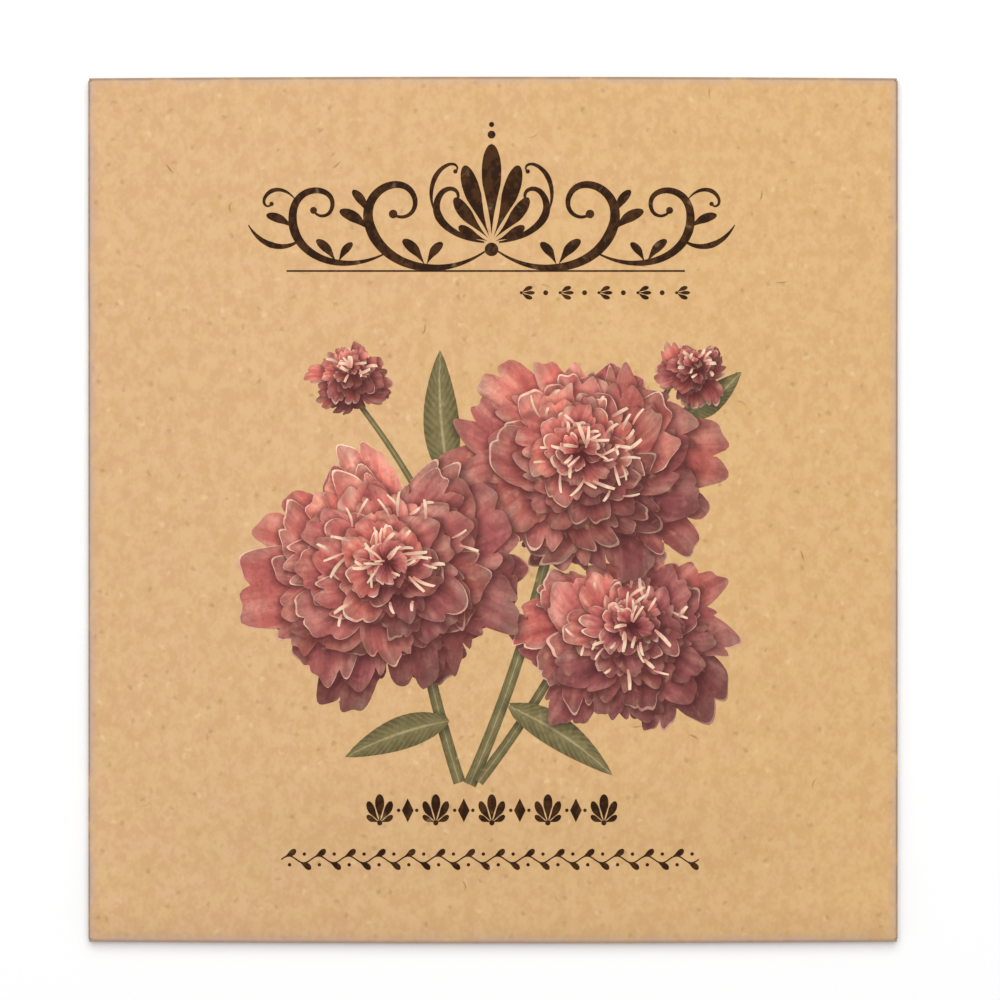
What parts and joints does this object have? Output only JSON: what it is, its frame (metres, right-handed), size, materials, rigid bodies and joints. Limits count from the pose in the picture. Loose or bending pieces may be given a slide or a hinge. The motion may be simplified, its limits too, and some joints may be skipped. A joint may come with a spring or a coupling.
{
  "type": "kraft paper seed packet",
  "caption": "Flat, nearly square kraft seed packet, folded from one sheet and glued shut, swollen over the loose seeds inside, with a printed front.",
  "frame": {"origin": "middle of the packet's footprint, on the surface that its back lies on", "axes": "+X to the right and +Y up as the front is read, with the closing flap's fold at the +Y end; +Z out of the front"},
  "size_m": [0.112, 0.12, 0.0039],
  "materials": {
    "kraft": "matte",
    "seed": "matte"
  },
  "bodies": {
    "root": {"kraft_packet": "kraft", "seed_01": "seed", "seed_02": "seed", "seed_03": "seed", "seed_04": "seed", "seed_05": "seed", "seed_06": "seed", "seed_07": "seed", "seed_08": "seed", "seed_09": "seed", "seed_10": "seed", "seed_11": "seed", "seed_12": "seed", "seed_13": "seed", "seed_14": "seed", "seed_15": "seed", "seed_16": "seed", "seed_17": "seed", "seed_18": "seed", "seed_19": "seed", "seed_20": "seed", "seed_21": "seed", "seed_22": "seed", "seed_23": "seed", "seed_24": "seed", "seed_25": "seed", "seed_26": "seed", "seed_27": "seed", "seed_28": "seed", "seed_29": "seed", "seed_30": "seed", "seed_31": "seed", "seed_32": "seed", "seed_33": "seed", "seed_34": "seed", "seed_35": "seed", "seed_36": "seed"}
  },
  "joints": []
}
